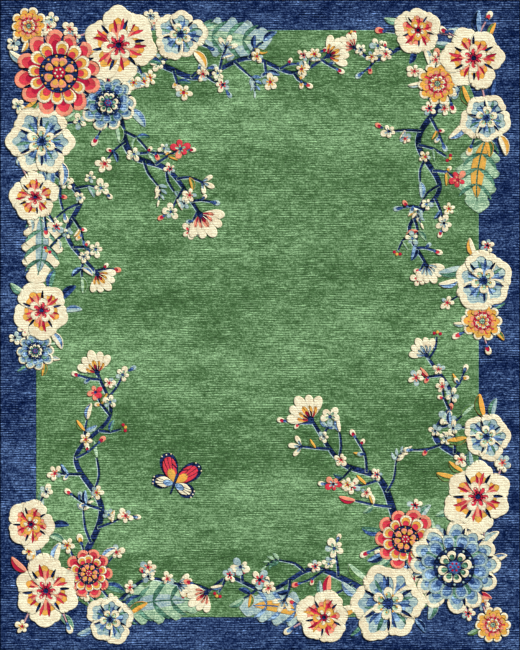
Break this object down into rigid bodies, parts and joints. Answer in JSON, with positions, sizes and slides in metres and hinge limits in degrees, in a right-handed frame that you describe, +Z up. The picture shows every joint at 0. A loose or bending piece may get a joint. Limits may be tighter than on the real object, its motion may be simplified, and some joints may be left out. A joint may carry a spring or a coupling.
{
  "type": "hand-tufted rug",
  "caption": "Flat hand-tufted wool rug with a navy border, a green open field and carved flower sprays round it",
  "frame": {"origin": "middle of the rug's underside, on the floor", "axes": "+Y along the rug's length towards its head end, +X across its width, +Z up out of the pile"},
  "size_m": [2.44, 3.05, 0.016],
  "materials": {
    "wool_pile": "cut wool pile, matt, streaky yarn with soft bands of lighter and darker dye",
    "edge_yarn": "dark navy wool yarn, wrapped over the edge"
  },
  "bodies": {
    "root": {"tufted_rug": "wool_pile", "edge_foot": "edge_yarn", "edge_right": "edge_yarn", "edge_head": "edge_yarn", "edge_left": "edge_yarn"}
  },
  "joints": []
}
